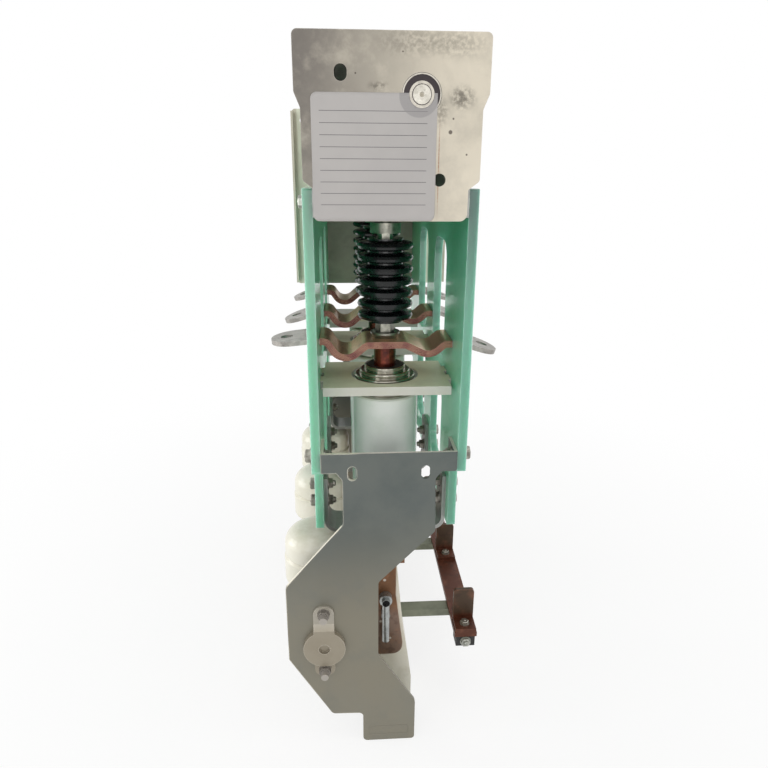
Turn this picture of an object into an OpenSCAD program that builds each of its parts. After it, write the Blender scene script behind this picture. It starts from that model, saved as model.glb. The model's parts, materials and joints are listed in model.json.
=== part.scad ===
// Three-pole vacuum circuit breaker with a switch below its poles.
// X is across the poles, Y runs along the row of poles, Z is up from the feet.

/* [Poles] */
// Distance between neighbouring poles
phase_pitch = 150; // [140:1:180]
// Radius of the interrupter's ceramic body
ceramic_r = 35.5; // [30:0.5:36]
// Height of the interrupter's lower end
interrupter_low = 246; // [243:1:252]
// Radius of the moving stem
stem_r = 11.65; // [9:0.05:12]
// How far the moving contacts part
stroke = 9; // [6:0.5:10]

/* [Boards] */
// Distance between the two side boards
board_gap = 135; // [125:1:150]
// Thickness of a side board
board_t = 9; // [6:0.5:12]
// Height of the boards' upper edge
board_top = 612; // [605:1:620]
// Height at which the board's end steps back
board_step_z = 343; // [335:1:350]
// Height of the boards' lower edge
board_low = 256; // [248:1:262]
// How far the lower part of a board is set back
board_set_back = 43; // [30:1:50]
// Board length beyond the outer poles' axes
board_overhang = 79; // [75:1:95]
// Width of the windows between the poles
window_w = 88; // [60:1:88]
// Lower edge of the upper windows
window_low = 428; // [425:1:440]
// Upper edge of the upper windows
window_high = 557; // [540:1:570]
// Lower edge of the lower windows
vent_low = 288; // [280:1:300]
// Upper edge of the lower windows
vent_high = 396; // [380:1:400]
// Corner radius of the windows
window_r = 22; // [8:1:30]

/* [Top frame] */
// Thickness of the folded steel sheet
sheet_t = 3; // [2:0.5:4]
// Height of the front end plate's upper edge
plate_top = 731; // [725:1:745]
// Width of the end plate's upper part
plate_top_w = 160; // [156:1:170]
// Width of the end plate's middle part
plate_mid_w = 150; // [146:1:154]
// Width of the end plate's lower tongue
plate_tongue_w = 131; // [110:1:134]
// Height at which the upper part narrows
plate_shoulder_z = 680; // [672:1:690]
// Height of the tongue's lower edge
plate_low = 585; // [575:1:595]
// Radius of the round hole in the end plate
sight_hole_r = 5.3; // [4:0.1:7]
// Sideways place of the round hole
sight_hole_x = 40.5; // [36:0.5:46]
// Height of the round hole above the boards
sight_hole_up = 7; // [4:0.5:20]
// Sideways place of the oval hole
oval_hole_x = -42; // [-50:0.5:-36]
// Height of the oval hole above the shaft
oval_hole_up = 15.5; // [8:0.5:20]
// Width of the mechanism panel
panel_w = 234; // [220:1:250]
// Lower edge of the mechanism panel
panel_low = 458; // [440:1:470]
// Upper edge of the mechanism panel
panel_top = 718; // [712:1:722]
// Depth of the panel's folded side lips
panel_lip = 24; // [15:1:30]
// Radius of the panel's bolt holes
panel_hole_r = 4.5; // [3:0.5:6]
// How far the bolt holes sit from the panel's edges
panel_hole_edge = 16; // [12:1:20]

/* [Drive shaft] */
// Sideways place of the drive shaft
shaft_x = 24; // [20:1:30]
// Height of the drive shaft
shaft_z = 685; // [680:1:690]
// Radius of the shaft in its bearings
journal_r = 7.45; // [6:0.05:8]
// Radius of the shaft between its bearings
shaft_r = 10; // [9:0.5:11]
// Outer radius of a shaft bearing
bearing_r = 16.4; // [15:0.1:18]
// Width of a shaft bearing
bearing_w = 9; // [7:0.5:12]
// Radius of the pin in each lever
lever_pin_r = 4; // [3:0.5:5]
// Thickness of each lever cheek
lever_t = 6; // [4:0.5:8]

/* [Pull rods] */
// Radius of the sheds
shed_r = 28.5; // [24:0.5:30]
// Radius of the rod between the sheds
rod_core_r = 18; // [14:0.1:20]
// Number of sheds
shed_count = 7; // [5:1:7]
// Distance between neighbouring sheds
shed_pitch = 11.7; // [10:0.1:12]
// Height of the pull rod's lower end
rod_low = 480; // [478:1:484]
// Length of the pull rod's insulating body
rod_len = 84; // [82:1:90]
// Radius of the steel cup above the rod
cup_r = 15.3; // [12:0.1:18]

/* [Flexible connectors] */
// Width of the copper strips
connector_w = 50; // [40:1:54]
// Thickness of the stack of strips
connector_t = 7; // [5:0.5:8]
// Height of the clamped middle
connector_z = 459.5; // [456:0.5:462]
// How far below the middle the left wave's flanks would meet
left_sag = 21; // [12:0.1:22]
// How far below the middle the right wave's flanks would meet
right_sag = 12.5; // [12:0.1:22]
// Radius of a wave at its lowest point
wave_r = 16; // [12:0.5:17]
// Half length of the flat middle
connector_flat = 20; // [18:0.5:24]
// Place where a wave's flanks would meet
connector_valley = 45; // [43:0.5:46]
// Place where a strip levels out towards its board
connector_crest = 60; // [59:0.5:61]
// Heights of the left terminals, nearest pole first
left_lug_z = [464, 461, 461];
// Heights of the right terminals, nearest pole first
right_lug_z = [460, 460, 460];
// Thickness of the terminal lugs
lug_t = 5; // [4:0.5:6]
// How far the lugs reach from the centre plane
lug_reach = 118; // [112:1:124]
// Angles at which the left lugs hang, nearest pole first
left_lug_drop = [6, 18, 18];
// Angle at which the right lugs hang
right_lug_drop = 18; // [0:1:20]
// Radius of the hole in a lug
lug_hole_r = 6.5; // [5:0.5:8]

/* [Shelves and saddles] */
// Thickness of a support shelf
shelf_t = 9; // [6:0.5:10]
// Height of the shelves' upper face
shelf_z = 422; // [420:0.5:424]
// Depth of a shelf along the row
shelf_d = 92; // [84:1:100]
// Gap between a shelf's body and each board
shelf_gap = 3; // [1:0.5:6]
// Gap around the interrupter's top ring in the shelf
shelf_hole_gap = 3.2; // [1:0.1:4]
// Width of a saddle strap
saddle_w = 40; // [30:1:46]
// Thickness of a saddle strap
saddle_t = 4; // [3:0.5:5]
// Height of a saddle's legs above its web
saddle_leg = 66; // [60:1:70]

/* [Switch] */
// Height of the bracket's upper edge
bracket_top = 365; // [358:1:370]
// Depth of the bracket's folded flanges
flange_d = 38; // [24:1:40]
// Sideways place of the switch shaft
switch_x = -69; // [-74:1:-66]
// Height of the switch shaft
switch_z = 137; // [133:1:139]
// Radius of the switch shaft
switch_r = 12; // [10:0.5:13]
// Radius of the bearing cap's disc
cap_r = 22.6; // [20:0.1:24]
// Thickness of the bearing cap's disc
cap_t = 6; // [4:0.5:8]
// Distance of the cap's upper stud from its centre
stud_up = 44; // [40:0.5:46]
// Distance of the cap's lower stud from its centre
stud_down = 29; // [29:0.5:40]
// Radius of the studs that hold a bearing cap
stud_r = 4; // [3:0.5:5]
// How far the studs stand out of a bearing cap's ears
stud_len = 13; // [9:0.5:16]
// Radius of the insulating skirts
skirt_r = 39; // [34:0.5:40]
// Height of the skirts' upper face
skirt_top = 238; // [232:1:239]
// Height of the skirts' lower rim
skirt_low = 174; // [170:1:180]
// Height of the post insulators' upper face
post_top = 205; // [198:1:210]
// Depth of a post insulator along the row
post_d = 60; // [50:1:64]
// Thickness of a switch blade
blade_t = 5; // [3:0.5:6]
// Height of the tie bar's lower face
tie_low = 9; // [8:0.5:12]
// Thickness of the tie bar
tie_t = 11.5; // [8:0.5:14]
// Width of the tie bar
tie_w = 50; // [48:1:52]

/* [Earth bar] */
// Sideways place of the earth bar's middle
earth_x = 99; // [95:1:104]
// Width of the earth bar
earth_w = 27; // [22:1:30]
// Thickness of the earth bar
earth_t = 6; // [5:0.5:10]
// Height of the earth bar's lower face
earth_low = 92; // [86:1:96]
// Height of the upright ears above the bar
ear_h = 45; // [36:1:50]
// Thickness of an ear
ear_t = 5; // [4:0.5:6]
// Depth of a cross arm along the row
arm_d = 17; // [12:1:20]
// Thickness of a cross arm
arm_t = 10; // [8:0.5:12]

/* [Hidden] */
$fn = 64;
arc_steps = 8;
fit = 0.05;
loose = 0.3;
cut = 1;
poles = [-phase_pitch, 0, phase_pitch];
row_half = phase_pitch + board_overhang;
board_in = board_gap / 2;
board_out = board_in + board_t;
shelf_low = shelf_z - shelf_t;
ceramic_top = shelf_z - 18;
connector_end = board_in - loose;
connector_top = connector_z + connector_t / 2;
connector_low = connector_z - connector_t / 2;
rod_top = rod_low + rod_len;
stem_low = ceramic_top - 72;
guide_low = shelf_z + 6.5;
guide_r = 19.8;
ring_r = ceramic_r - 3.2;
lever_len = shaft_x;
nut_h = 5;
cup_h = 10;
link_r = 6;
eye_r = 11;
eye_t = 10;
washer_r = 15.3;
washer_h = 6;
hex_r = 10;
saddle_low = interrupter_low - saddle_t;
tie_top = tie_low + tie_t;
earth_top = earth_low + earth_t;
foot_x = [-27.5, 31.5];
foot_mid = (foot_x[0] + foot_x[1]) / 2;
tenon_w = 44;
hole_edge = 16;
stud_nut_h = 6.5;
tab_w = 18;
tab_y = 15;
hole_x = panel_w / 2 - panel_hole_edge;

function unit(v) = v / norm(v);

// Points of the arc that rounds the corner b between its neighbours a and c
function corner(a, b, c, r) =
    r <= 0 ? [b] :
    let (
        u = unit(a - b),
        w = unit(c - b),
        half = acos(u * w) / 2,
        middle = b + unit(u + w) * r / sin(half),
        start = b + u * r / tan(half) - middle,
        end = b + w * r / tan(half) - middle,
        from = atan2(start.y, start.x),
        raw = atan2(end.y, end.x) - from,
        turn = raw > 180 ? raw - 360 : raw < -180 ? raw + 360 : raw
    )
    [for (i = [0:arc_steps]) let (t = from + turn * i / arc_steps) middle + r * [cos(t), sin(t)]];

// Outline of [x, y, radius] corners with each corner rounded
function rounded(p) =
    let (n = len(p), at = [for (q = p) [q.x, q.y]])
    [for (i = [0:n - 1]) each corner(at[(i + n - 1) % n], at[i], at[(i + 1) % n], p[i][2])];

function reversed(p) = [for (i = [len(p) - 1:-1:0]) p[i]];
function mirrored(p) = [for (q = p) [-q.x, q.y, q[2]]];

function box_corners(x0, y0, x1, y1, r) = [[x0, y0, r], [x1, y0, r], [x1, y1, r], [x0, y1, r]];

// Sheet with an outline across and up, lying from y to y + t
module across_sheet(points, y, t) {
    translate([0, y + t, 0])
        rotate([90, 0, 0])
            linear_extrude(t)
                polygon(points);
}

// Sheet with an outline along the row and up, lying from x to x + t
module row_sheet(points, x, t) {
    translate([x, 0, 0])
        rotate([90, 0, 90])
            linear_extrude(t)
                polygon(points);
}

// Cylinder along the row from y to y + length
module row_rod(x, y, z, r, length) {
    translate([x, y + length, z])
        rotate([90, 0, 0])
            cylinder(r = r, h = length);
}

module box(low, high) {
    translate(low)
        cube(high - low);
}

// End plate: a wide head, a middle over the boards and a tongue between them
module front_end_plate() {
    head = plate_top_w / 2;
    middle = plate_mid_w / 2;
    tongue = plate_tongue_w / 2;
    step = 6;
    right_side = [
        [tongue, plate_low, 6.5], [tongue, board_top - 1, 2], [middle, board_top + step, 4],
        [middle, plate_shoulder_z - step, 6], [head, plate_shoulder_z + step, 6], [head, plate_top, 4.5]
    ];
    color("Tan")
        difference() {
            across_sheet(
                rounded(concat(right_side, mirrored(reversed(right_side)))), -row_half - sheet_t, sheet_t
            );
            row_rod(shaft_x, -row_half - sheet_t - cut, shaft_z, bearing_r + fit, sheet_t + 2 * cut);
            for (dz = [-1.2, 1.2])
                row_rod(oval_hole_x, -row_half - sheet_t - cut, shaft_z + oval_hole_up + dz, 5.2, sheet_t + 2 * cut);
            row_rod(sight_hole_x, -row_half - sheet_t - cut, board_top + sight_hole_up, sight_hole_r, sheet_t + 2 * cut);
        }
}

// Folded channel that carries the boards and covers the shaft
module top_channel() {
    top = plate_top - 3;
    low = plate_low + 3;
    bend = 2 * sheet_t;
    inner = board_in - sheet_t;
    outline = rounded([
        [-board_in, low, 0], [-inner, low, 0], [-inner, top - sheet_t, bend - sheet_t],
        [inner, top - sheet_t, bend - sheet_t], [inner, low, 0], [board_in, low, 0],
        [board_in, top, bend], [-board_in, top, bend]
    ]);
    color("Silver")
        across_sheet(outline, -row_half, 2 * row_half);
}

// Panel at the far end, with folded lips towards the poles
module mechanism_panel() {
    half = panel_w / 2;
    color("DarkKhaki")
        difference() {
            union() {
                across_sheet(rounded(box_corners(-half, panel_low, half, panel_top, 5)), row_half, sheet_t);
                for (x = [-half, half - sheet_t])
                    box([x, row_half - panel_lip, panel_low + 5], [x + sheet_t, row_half, panel_top - 5]);
            }
            row_rod(shaft_x, row_half - cut, shaft_z, bearing_r + fit, sheet_t + 2 * cut);
            for (x = [-hole_x, hole_x], z = [panel_low + panel_hole_edge, panel_top - panel_hole_edge])
                row_rod(x, row_half - cut, z, panel_hole_r, sheet_t + 2 * cut);
        }
}

// One sealed bearing: outer ring, recessed seal and inner ring
module bearing() {
    seal = 0.6;
    seal_out = bearing_r - 1.4;
    seal_in = journal_r + 2.8;
    profile = [
        [journal_r + fit, 0], [seal_in, 0], [seal_in, seal], [seal_out, seal], [seal_out, 0], [bearing_r, 0],
        [bearing_r, bearing_w], [seal_out, bearing_w], [seal_out, bearing_w - seal],
        [seal_in, bearing_w - seal], [seal_in, bearing_w], [journal_r + fit, bearing_w]
    ];
    rotate([-90, 0, 0])
        rotate_extrude()
            polygon(profile);
}

module shaft_bearings() {
    color("LightSlateGray")
        for (y = [-row_half - sheet_t, row_half + sheet_t - bearing_w])
            translate([shaft_x, y, shaft_z])
                bearing();
}

// Lever cheek from the shaft to its pin, as a flat link with two round ends
module lever_cheek(y) {
    hub = shaft_r + 6;
    boss = lever_pin_r + 5;
    lean = asin((hub - boss) / lever_len);
    side = [sin(lean), cos(lean)];
    points = [
        hub * [-side.x, side.y], boss * [-side.x, side.y] + [-lever_len, 0],
        boss * [-side.x, -side.y] + [-lever_len, 0], hub * [-side.x, -side.y]
    ];
    translate([shaft_x, 0, shaft_z]) {
        across_sheet(points, y, lever_t);
        row_rod(0, y, 0, hub, lever_t);
        row_rod(-lever_len, y, 0, boss, lever_t);
    }
}

// Drive shaft with a pair of cheeks and a pin at each pole
module drive_shaft() {
    end = row_half + sheet_t + 0.5;
    shoulder = row_half + sheet_t - bearing_w - loose;
    dimple = 2.2;
    cheek = eye_t / 2 + cut;
    color("Gainsboro")
        difference() {
            union() {
                row_rod(shaft_x, -end, shaft_z, journal_r, 2 * end);
                row_rod(shaft_x, -shoulder, shaft_z, shaft_r, 2 * shoulder);
                for (y = poles) {
                    lever_cheek(y + cheek);
                    lever_cheek(y - cheek - lever_t);
                    row_rod(shaft_x - lever_len, y - cheek - cut, shaft_z, lever_pin_r, 2 * (cheek + cut));
                }
            }
            translate([shaft_x, -end, shaft_z])
                rotate([-90, 0, 0])
                    cylinder(r1 = dimple, r2 = 0, h = dimple);
        }
}

// Side board with a window and a vent between poles, and slots for shelves and lugs
module side_board(x, lug_heights) {
    low_half = row_half - board_set_back;
    outline = rounded([
        [-low_half, board_low, 3], [low_half, board_low, 3], [low_half, board_step_z, 4],
        [row_half, board_step_z, 2], [row_half, board_top, 2], [-row_half, board_top, 2],
        [-row_half, board_step_z, 2], [-low_half, board_step_z, 4]
    ]);
    slot_half = connector_w / 2 + 1;
    through = board_t + 2 * cut;
    difference() {
        row_sheet(outline, x, board_t);
        for (middle = [-phase_pitch / 2, phase_pitch / 2]) {
            y0 = middle - window_w / 2;
            y1 = middle + window_w / 2;
            row_sheet(rounded(box_corners(y0, window_low, y1, window_high, window_r)), x - cut, through);
            row_sheet(rounded(box_corners(y0, vent_low, y1, vent_high, window_r)), x - cut, through);
        }
        for (i = [0:2]) {
            for (side = [-1, 1])
                shelf_tab(x - cut, x + board_t + cut, poles[i] + side * tab_y, loose / 2);
            box([x - cut, poles[i] - slot_half, lug_heights[i] - lug_t / 2 - cut],
                [x + board_t + cut, poles[i] + slot_half, lug_heights[i] + lug_t / 2 + cut]);
        }
    }
}

module left_side_board() {
    color("MediumAquamarine")
        side_board(-board_out, left_lug_z);
}

module right_side_board() {
    color("MediumAquamarine")
        side_board(board_in, right_lug_z);
}

// Ribbed insulating rod between the drive levers and the moving contact
module pull_rod(y) {
    tip = 3.5;
    root = 5.2;
    first = (rod_len - (shed_count - 1) * shed_pitch) / 2;
    sheds = [for (i = [0:shed_count - 1]) let (z = first + i * shed_pitch) each [
        [rod_core_r, z - root], [shed_r - tip, z - tip], [shed_r - tip * 0.3, z - tip * 0.7], [shed_r, z],
        [shed_r - tip * 0.3, z + tip * 0.7], [shed_r - tip, z + tip], [rod_core_r, z + root]
    ]];
    color("Black")
        translate([0, y, rod_low])
            rotate_extrude()
                polygon(concat([[0, 0], [rod_core_r, 0]], sheds, [[rod_core_r, rod_len], [0, rod_len]]));
}

// Steel above the rod: nut, inverted cup, link and the eye on the lever's pin
module upper_fitting() {
    cup_low = rod_top + nut_h;
    wall = 2.5;
    cup_profile = [
        [0, cup_low + wall], [cup_r - wall, cup_low + wall], [cup_r - wall, cup_low], [cup_r, cup_low],
        [cup_r, cup_low + cup_h], [0, cup_low + cup_h]
    ];
    slip = lever_len - sqrt(lever_len * lever_len - stroke * stroke) + 0.5;
    slot_r = lever_pin_r + loose;
    rotate_extrude()
        polygon(cup_profile);
    translate([0, 0, rod_top])
        cylinder(r = 7.6, h = nut_h + wall, $fn = 6);
    translate([0, 0, cup_low + cup_h])
        cylinder(r = link_r, h = shaft_z - eye_r + 2 - cup_low - cup_h);
    difference() {
        row_rod(0, -eye_t / 2, shaft_z, eye_r, eye_t);
        for (x = [0, slip])
            row_rod(x, -eye_t / 2 - cut, shaft_z, slot_r, eye_t + 2 * cut);
        box([0, -eye_t / 2 - cut, shaft_z - slot_r], [slip, eye_t / 2 + cut, shaft_z + slot_r]);
    }
}

// Steel below the rod: hexagon adapter and dished clamping washer
module lower_fitting() {
    rim = 2;
    profile = [
        [0, 0], [washer_r - rim, 0], [washer_r, washer_h - rim], [washer_r, washer_h],
        [washer_r - rim, washer_h], [hex_r, washer_h - rim], [0, washer_h - rim]
    ];
    translate([0, 0, connector_top]) {
        rotate_extrude()
            polygon(profile);
        cylinder(r = hex_r, h = rod_low - connector_top, $fn = 6);
    }
}

module rod_fittings() {
    color("LightGray")
        for (y = poles)
            translate([0, y, 0]) {
                upper_fitting();
                lower_fitting();
            }
}

module moving_stems() {
    color("Sienna")
        for (y = poles)
            translate([0, y, stem_low])
                cylinder(r = stem_r, h = connector_low - stem_low);
}

function left_of(v) = [-v.y, v.x];

// Corner b of the path a, b, c moved sideways by d
function beside(a, b, c, d) =
    let (n = left_of(unit(b - a)), m = unit(n + left_of(unit(c - b))))
    b + m * d / (m * n);

// One edge of half a strip, side 1 above and -1 below, from its flat middle to its end height
function half_edge(side, sag, end) =
    let (
        d = side * connector_t / 2,
        middle = [0, connector_z],
        bend = [connector_flat, connector_z],
        low = [connector_valley, connector_z - sag],
        crest = [connector_crest, end],
        tip = [connector_end, end],
        b = beside(middle, bend, low, d),
        v = beside(bend, low, crest, d),
        c = beside(low, crest, tip, d),
        r = connector_t + d
    )
    [[b.x, b.y, r], [v.x, v.y, wave_r - d], [c.x, c.y, r], [tip.x, tip.y + d, 0]];

// Stack of copper strips with two hanging waves, clamped at its middle
module flexible_connector(i) {
    left = left_lug_z[i];
    right = right_lug_z[i];
    outline = rounded(concat(
        half_edge(1, right_sag, right), reversed(half_edge(-1, right_sag, right)),
        mirrored(half_edge(-1, left_sag, left)), mirrored(reversed(half_edge(1, left_sag, left)))
    ));
    color("Peru")
        across_sheet(outline, poles[i] - connector_w / 2, connector_w);
}

// Terminal lug on the right side: a flat root through the board and a hanging round end with a hole
module right_lug(z, drop) {
    half = connector_w / 2;
    bend_x = board_out + 1;
    tip = (lug_reach - bend_x) / cos(drop);
    along = [cos(drop), -sin(drop)];
    up = [sin(drop), cos(drop)];
    bend = [bend_x, lug_t / 2];
    side_view = [
        [connector_end, lug_t / 2], bend, bend + tip * along, bend + tip * along - lug_t * up,
        [bend_x - lug_t * tan(drop / 2), -lug_t / 2], [connector_end, -lug_t / 2]
    ];
    plan = rounded([[-bend_x, -half, 0], [tip, -half, half - 1], [tip, half, half - 1], [-bend_x, half, 0]]);
    translate([0, 0, z])
        difference() {
            intersection() {
                across_sheet(side_view, -half - cut, 2 * (half + cut));
                translate([bend_x, 0, lug_t / 2])
                    rotate([0, drop, 0])
                        translate([0, 0, -bend_x])
                            linear_extrude(2 * bend_x)
                                polygon(plan);
            }
            translate([bend_x, 0, lug_t / 2])
                rotate([0, drop, 0])
                    translate([tip - hole_edge, 0, -lug_t - cut])
                        cylinder(r = lug_hole_r, h = lug_t + 2 * cut);
        }
}

module left_lugs() {
    color("LightGray")
        for (i = [0:2])
            translate([0, poles[i], 0])
                mirror([1, 0, 0])
                    right_lug(left_lug_z[i], left_lug_drop[i]);
}

module right_lugs() {
    color("LightGray")
        for (i = [0:2])
            translate([0, poles[i], 0])
                right_lug(right_lug_z[i], right_lug_drop);
}

// Tongue of a shelf in its board, or the slot for it with some play
module shelf_tab(x0, x1, y, play) {
    box([x0, y - tab_w / 2 - play, shelf_low - play], [x1, y + tab_w / 2 + play, shelf_z + play]);
}

// White shelf that guides the interrupter's upper end
module support_shelf(y) {
    half = board_in - shelf_gap;
    color("WhiteSmoke")
        difference() {
            union() {
                box([-half, y - shelf_d / 2, shelf_low], [half, y + shelf_d / 2, shelf_z]);
                for (side = [-1, 1])
                    shelf_tab(-board_out, board_out, y + side * tab_y, 0);
            }
            translate([0, y, shelf_low - cut])
                cylinder(r = ring_r + shelf_hole_gap, h = shelf_t + 2 * cut);
        }
}

// Ceramic body on its lower metal end, bored for the stem
module interrupter(y) {
    foot_h = 10;
    foot_r = ceramic_r - 3;
    profile = [
        [0, interrupter_low], [foot_r, interrupter_low], [foot_r, interrupter_low + foot_h],
        [ceramic_r - 1.5, interrupter_low + foot_h], [ceramic_r, interrupter_low + foot_h + 1.5],
        [ceramic_r, ceramic_top - 1.5], [ceramic_r - 1.5, ceramic_top], [stem_r + loose, ceramic_top],
        [stem_r + loose, stem_low - cut], [0, stem_low - cut]
    ];
    color("White")
        translate([0, y, 0])
            rotate_extrude()
                polygon(profile);
}

// Stepped metal rings with rolled rims that close the interrupter's upper end
module interrupter_cap(y) {
    bore = stem_r + loose;
    middle = ring_r - 5.5;
    base = shelf_z - 3.5;
    step = 5;
    rim = 1.8;
    profile = rounded([
        [bore, ceramic_top, 0], [ring_r - 4, ceramic_top, 0], [ring_r - 4, base, 0.4], [ring_r, base, rim],
        [ring_r, base + step, rim], [middle, base + step, 0.4], [middle, base + 2 * step, rim],
        [guide_r + rim, base + 2 * step, 0.4], [guide_r + rim, base + 3 * step, 1.2],
        [guide_r, base + 3 * step, 0.4], [guide_r, base + 2 * step, 0], [bore, base + 2 * step, 0]
    ]);
    color("Gainsboro")
        translate([0, y, 0])
            rotate_extrude()
                polygon(profile);
}

module guide_bushes() {
    height = 4;
    color("DimGray")
        for (y = poles)
            translate([0, y, guide_low])
                difference() {
                    cylinder(r = guide_r - fit, h = height);
                    translate([0, 0, -cut])
                        cylinder(r = stem_r + loose, h = height + 2 * cut);
                }
}

// Folded strap between the boards that carries the interrupter's lower end
module lower_saddle(y) {
    inner = board_in - saddle_t;
    top = saddle_low + saddle_leg;
    bend = 10;
    outline = rounded([
        [-board_in, saddle_low, bend + saddle_t], [board_in, saddle_low, bend + saddle_t], [board_in, top, 0],
        [inner, top, 0], [inner, interrupter_low, bend], [-inner, interrupter_low, bend],
        [-inner, top, 0], [-board_in, top, 0]
    ]);
    color("Silver")
        across_sheet(outline, y - saddle_w / 2, saddle_w);
}

// Hooked bracket below the boards: neck, body with the bearing and foot
module switch_bracket() {
    y = -row_half;
    neck = 46.5;
    flange_low = bracket_top - 21;
    body_left = -108;
    shoulder = 213;
    gap_left = -10.5;
    outline = rounded([
        [-board_in, bracket_top, 3], [-board_in, flange_low, 2], [-neck - 6, flange_low, 2],
        [-neck, flange_low - 8, 7], [-neck, 286, 8], [body_left, shoulder, 9], [body_left, 120, 4],
        [-62, 42, 6], [foot_x[0], 41, 5], [foot_x[0], 0, 5], [foot_x[1], 0, 4], [foot_x[1], 56, 12],
        [gap_left, 122, 3], [gap_left, 216, 6], [48, 276, 4], [neck, flange_low - 8, 6],
        [neck + 6, flange_low, 3], [board_in, flange_low, 2], [board_in, bracket_top, 3]
    ]);
    slot_x = 36.5;
    slot_z = bracket_top - 21.5;
    slot_r = 4.4;
    difference() {
        union() {
            across_sheet(outline, y, sheet_t);
            for (x = [-board_in, board_in - sheet_t])
                box([x, y, flange_low + 2], [x + sheet_t, y + flange_d, bracket_top]);
        }
        for (x = [-slot_x, slot_x]) {
            for (dz = [-3, 3])
                row_rod(x, y - cut, slot_z + dz, slot_r, sheet_t + 2 * cut);
            box([x - slot_r, y - cut, slot_z - 3], [x + slot_r, y + sheet_t + cut, slot_z + 3]);
        }
        row_rod(switch_x, y - cut, switch_z, switch_r + loose, sheet_t + 2 * cut);
        tie_tenon(y - cut, y + sheet_t + cut, loose / 2);
    }
}

module front_switch_bracket() {
    color("SlateGray")
        switch_bracket();
}

module rear_switch_bracket() {
    color("SlateGray")
        mirror([0, 1, 0])
            switch_bracket();
}

// Bearing cap: a dished disc with two joggled ears on studs with nuts
module bearing_cap() {
    ear = 11;
    joggle = 2.5;
    ramp = [cap_r - 6, cap_r + 1, cap_r + 8];
    y = -row_half;
    translate([switch_x, 0, switch_z]) {
        difference() {
            union() {
                row_rod(0, y - cap_t, 0, cap_r, cap_t);
                across_sheet(
                    rounded(box_corners(-ear, -stud_down - 9, ear, stud_up + 8, 9)), y - joggle, joggle
                );
                row_sheet(
                    [[y - joggle, ramp[0]], [y - cap_t, ramp[0]], [y - cap_t, ramp[1]], [y - joggle, ramp[2]]],
                    -ear, 2 * ear
                );
            }
            row_rod(0, y - cap_t - cut, 0, 6, 3 + cut);
            row_rod(0, y - 2, 0, switch_r + loose, 2 + cut);
        }
        for (z = [stud_up, -stud_down])
            translate([0, y - joggle, z])
                rotate([90, 0, 0]) {
                    cylinder(r = stud_r + 3.5, h = 1.2);
                    cylinder(r = stud_r + 2.5, h = stud_nut_h, $fn = 6);
                    cylinder(r = stud_r, h = stud_len);
                }
    }
}

module switch_bearing_caps() {
    color("Silver") {
        bearing_cap();
        mirror([0, 1, 0])
            bearing_cap();
    }
}

module switch_shaft() {
    end = row_half + 1.5;
    color("Gray")
        row_rod(switch_x, -end, switch_z, switch_r, 2 * end);
}

// Ivory moulded arm on the switch shaft, with a double skirt
module insulating_arm(y) {
    skirt_x = -skirt_r - 38;
    hub_r = switch_r + 8;
    hub_w = 44;
    core_r = 17;
    wall = 5;
    waist = (skirt_low + skirt_top) / 2;
    dome = 20;
    groove = 2.5;
    top_arc = [for (i = [0:8]) let (a = 90 * i / 8)
        [skirt_r - 1 - dome * (1 - cos(a)), skirt_top - dome * 0.9 * (1 - sin(a))]];
    profile = concat(
        [[0, switch_z], [core_r, switch_z], [core_r, waist - 6], [skirt_r - wall, waist - 6],
         [skirt_r - wall, skirt_low], [skirt_r - 1, skirt_low], [skirt_r, skirt_low + 2],
         [skirt_r, waist - groove], [skirt_r - groove, waist], [skirt_r - 1, waist + groove]],
        top_arc, [[0, skirt_top]]
    );
    color("Beige")
        difference() {
            union() {
                translate([skirt_x, y, 0])
                    rotate_extrude()
                        polygon(profile);
                row_rod(switch_x, y - hub_w / 2, switch_z, hub_r, hub_w);
            }
            row_rod(switch_x, y - skirt_r - cut, switch_z, switch_r + fit, 2 * (skirt_r + cut));
        }
}

// End tenon of the tie bar, or the slot for it with some play
module tie_tenon(y0, y1, play) {
    box([foot_mid - tenon_w / 2 - play, y0, tie_low - play], [foot_mid + tenon_w / 2 + play, y1, tie_top + play]);
}

module bottom_tie_bar() {
    inner = row_half - sheet_t;
    color("SlateGray") {
        box([foot_mid - tie_w / 2, -inner, tie_low], [foot_mid + tie_w / 2, inner, tie_top]);
        tie_tenon(-row_half, -inner + cut, 0);
        tie_tenon(inner - cut, row_half, 0);
    }
}

// Tapered ivory post that straddles the tie bar
module post_insulator(y) {
    foot = 32;
    half_side = [[foot, 2, 2], [foot, 44, 25], [20, 130, 40], [13, post_top, 2]];
    color("Ivory")
        difference() {
            across_sheet(rounded(concat(half_side, mirrored(reversed(half_side)))), y - post_d / 2, post_d);
            box([foot_mid - tie_w / 2, y - post_d / 2 - cut, 0], [foot_mid + tie_w / 2, y + post_d / 2 + cut, tie_top]);
        }
}

// Copper blade in front of each post, with a broad round lower end
module switch_blades() {
    narrow = 12;
    broad = 20.5;
    low = 83;
    high = saddle_low - 4;
    outline = rounded([
        [-broad + 1, low, 12], [broad - 1, low, 12], [broad, 99, 20], [narrow, 166, 25], [narrow, high, 2],
        [-narrow, high, 2], [-narrow, 166, 25], [-broad, 99, 20]
    ]);
    color("SaddleBrown")
        for (y = poles)
            across_sheet(outline, y - post_d / 2 - blade_t, blade_t);
}

// Spring cup and link pin in front of each blade
module blade_contacts() {
    y = -post_d / 2 - blade_t;
    cup_z = 164.5;
    pin_r = 4.2;
    pin_low = 111;
    color("Gainsboro")
        for (pole = poles)
            translate([0, pole + y, 0]) {
                row_rod(0, -9, cup_z, 7.2, 9);
                row_rod(0, -13, cup_z, 4.5, 5);
                row_rod(0, -9, cup_z - 20, 5, 9);
                translate([0, -5 - pin_r, pin_low])
                    cylinder(r = pin_r, h = cup_z - pin_low);
                row_rod(0, -5 - pin_r, pin_low + 4, 3.5, 5 + pin_r);
            }
}

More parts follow.
